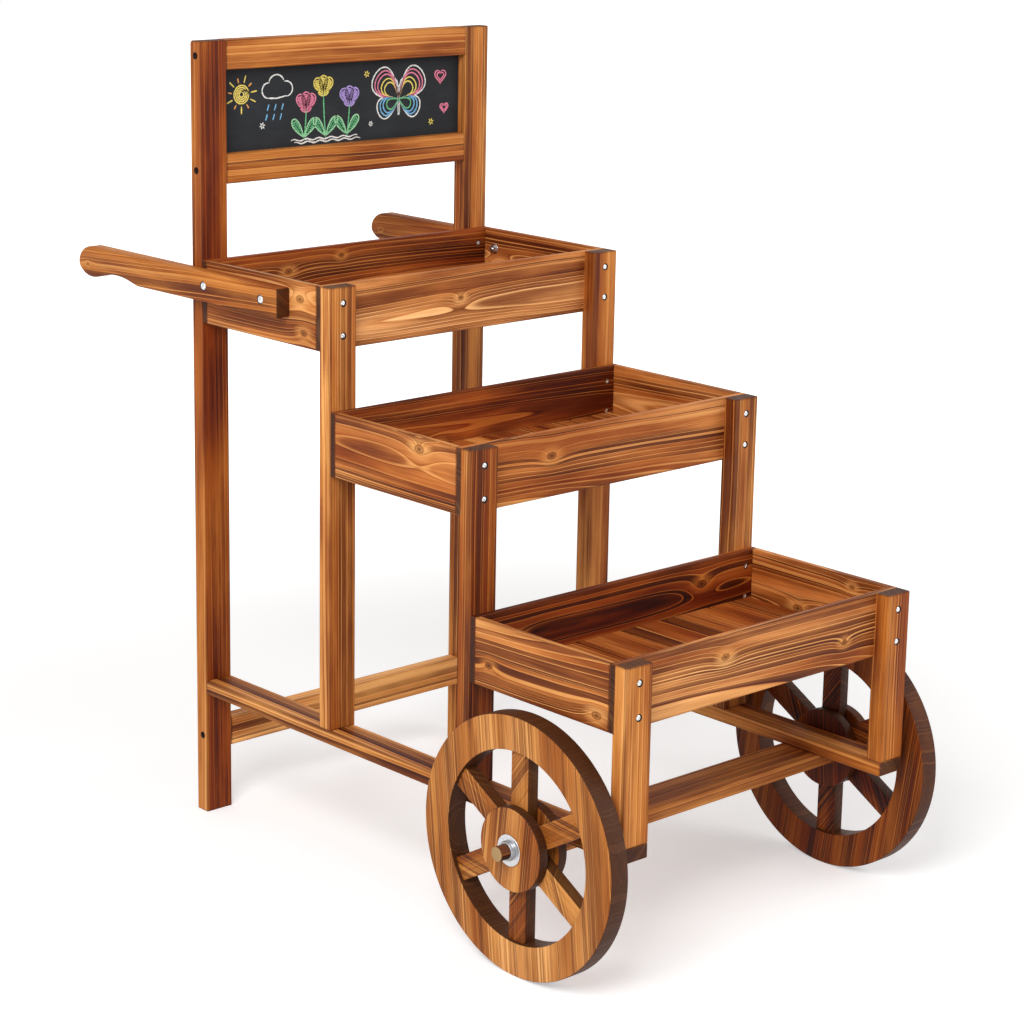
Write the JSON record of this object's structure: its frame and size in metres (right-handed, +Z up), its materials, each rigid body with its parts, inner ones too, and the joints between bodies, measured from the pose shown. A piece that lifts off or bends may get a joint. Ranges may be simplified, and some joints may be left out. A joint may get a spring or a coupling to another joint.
{
  "type": "flower cart stand",
  "caption": "Stepped wooden plant stand in the form of a hand cart: planter boxes in steps, a framed chalkboard at the back, push handles and spoked wheels on a fixed axle.",
  "frame": {"origin": "on the floor, at the middle of the overall width and the overall length", "axes": "+X to the cart's right, +Y from the wheels to the handles, +Z up"},
  "size_m": [0.694, 1.175, 1.14],
  "materials": {
    "frame_wood": "scorched, oiled, satin",
    "handle_wood": "scorched, oiled, satin",
    "box_wood": "scorched, oiled, satin",
    "wheel_wood": "scorched, oiled, satin",
    "axle_wood": "turned, stained, satin",
    "chalkboard": "matte blackboard paint",
    "screw_steel": "bright zinc",
    "zinc_plate": "bright zinc"
  },
  "bodies": {
    "stand": {"back_post_left": "frame_wood", "side_rail_left": "frame_wood", "handle_left": "handle_wood", "axle_stub_left": "axle_wood", "top_leg_left": "frame_wood", "top_box_left_end": "box_wood", "middle_leg_left": "frame_wood", "middle_box_left_end": "box_wood", "bottom_leg_left": "frame_wood", "bottom_box_left_end": "box_wood", "back_post_right": "frame_wood", "side_rail_right": "frame_wood", "handle_right": "handle_wood", "axle_stub_right": "axle_wood", "top_leg_right": "frame_wood", "top_box_right_end": "box_wood", "middle_leg_right": "frame_wood", "middle_box_right_end": "box_wood", "bottom_leg_right": "frame_wood", "bottom_box_right_end": "box_wood", "chalkboard_top_rail": "frame_wood", "chalkboard_bottom_rail": "frame_wood", "lower_back_rail": "frame_wood", "axle_beam": "frame_wood", "chalkboard_panel": "chalkboard", "top_box_front_board": "box_wood", "top_box_back_board": "box_wood", "top_box_front_ledger": "box_wood", "top_box_back_ledger": "box_wood", "top_box_floor_slats": "box_wood", "middle_box_front_board": "box_wood", "middle_box_back_board": "box_wood", "middle_box_front_ledger": "box_wood", "middle_box_back_ledger": "box_wood", "middle_box_floor_slats": "box_wood", "bottom_box_front_board": "box_wood", "bottom_box_back_board": "box_wood", "bottom_box_front_ledger": "box_wood", "bottom_box_back_ledger": "box_wood", "bottom_box_floor_slats": "box_wood", "axle_washers": "zinc_plate", "axle_collars": "zinc_plate", "post_screws": "screw_steel", "side_rail_screws": "screw_steel", "leg_foot_screws": "screw_steel", "axle_beam_screws": "screw_steel", "leg_screws": "screw_steel", "back_board_screws": "screw_steel", "handle_bolts": "screw_steel", "handle_washers": "screw_steel", "handle_nuts": "screw_steel"},
    "wheel_left": {"left_wheel_rim": "wheel_wood", "left_wheel_spokes": "wheel_wood", "left_wheel_hub_inner_disc": "wheel_wood", "left_wheel_hub_outer_disc": "wheel_wood"},
    "wheel_right": {"right_wheel_rim": "wheel_wood", "right_wheel_spokes": "wheel_wood", "right_wheel_hub_inner_disc": "wheel_wood", "right_wheel_hub_outer_disc": "wheel_wood"}
  },
  "joints": [
    {"name": "left_wheel_spin", "type": "hinge", "parent": "stand", "child": "wheel_left", "pos_m": [-0.3, -0.4125, 0.175], "axis": [1, 0, 0], "continuous": true},
    {"name": "right_wheel_spin", "type": "hinge", "parent": "stand", "child": "wheel_right", "pos_m": [0.3, -0.4125, 0.175], "axis": [1, 0, 0], "continuous": true}
  ]
}
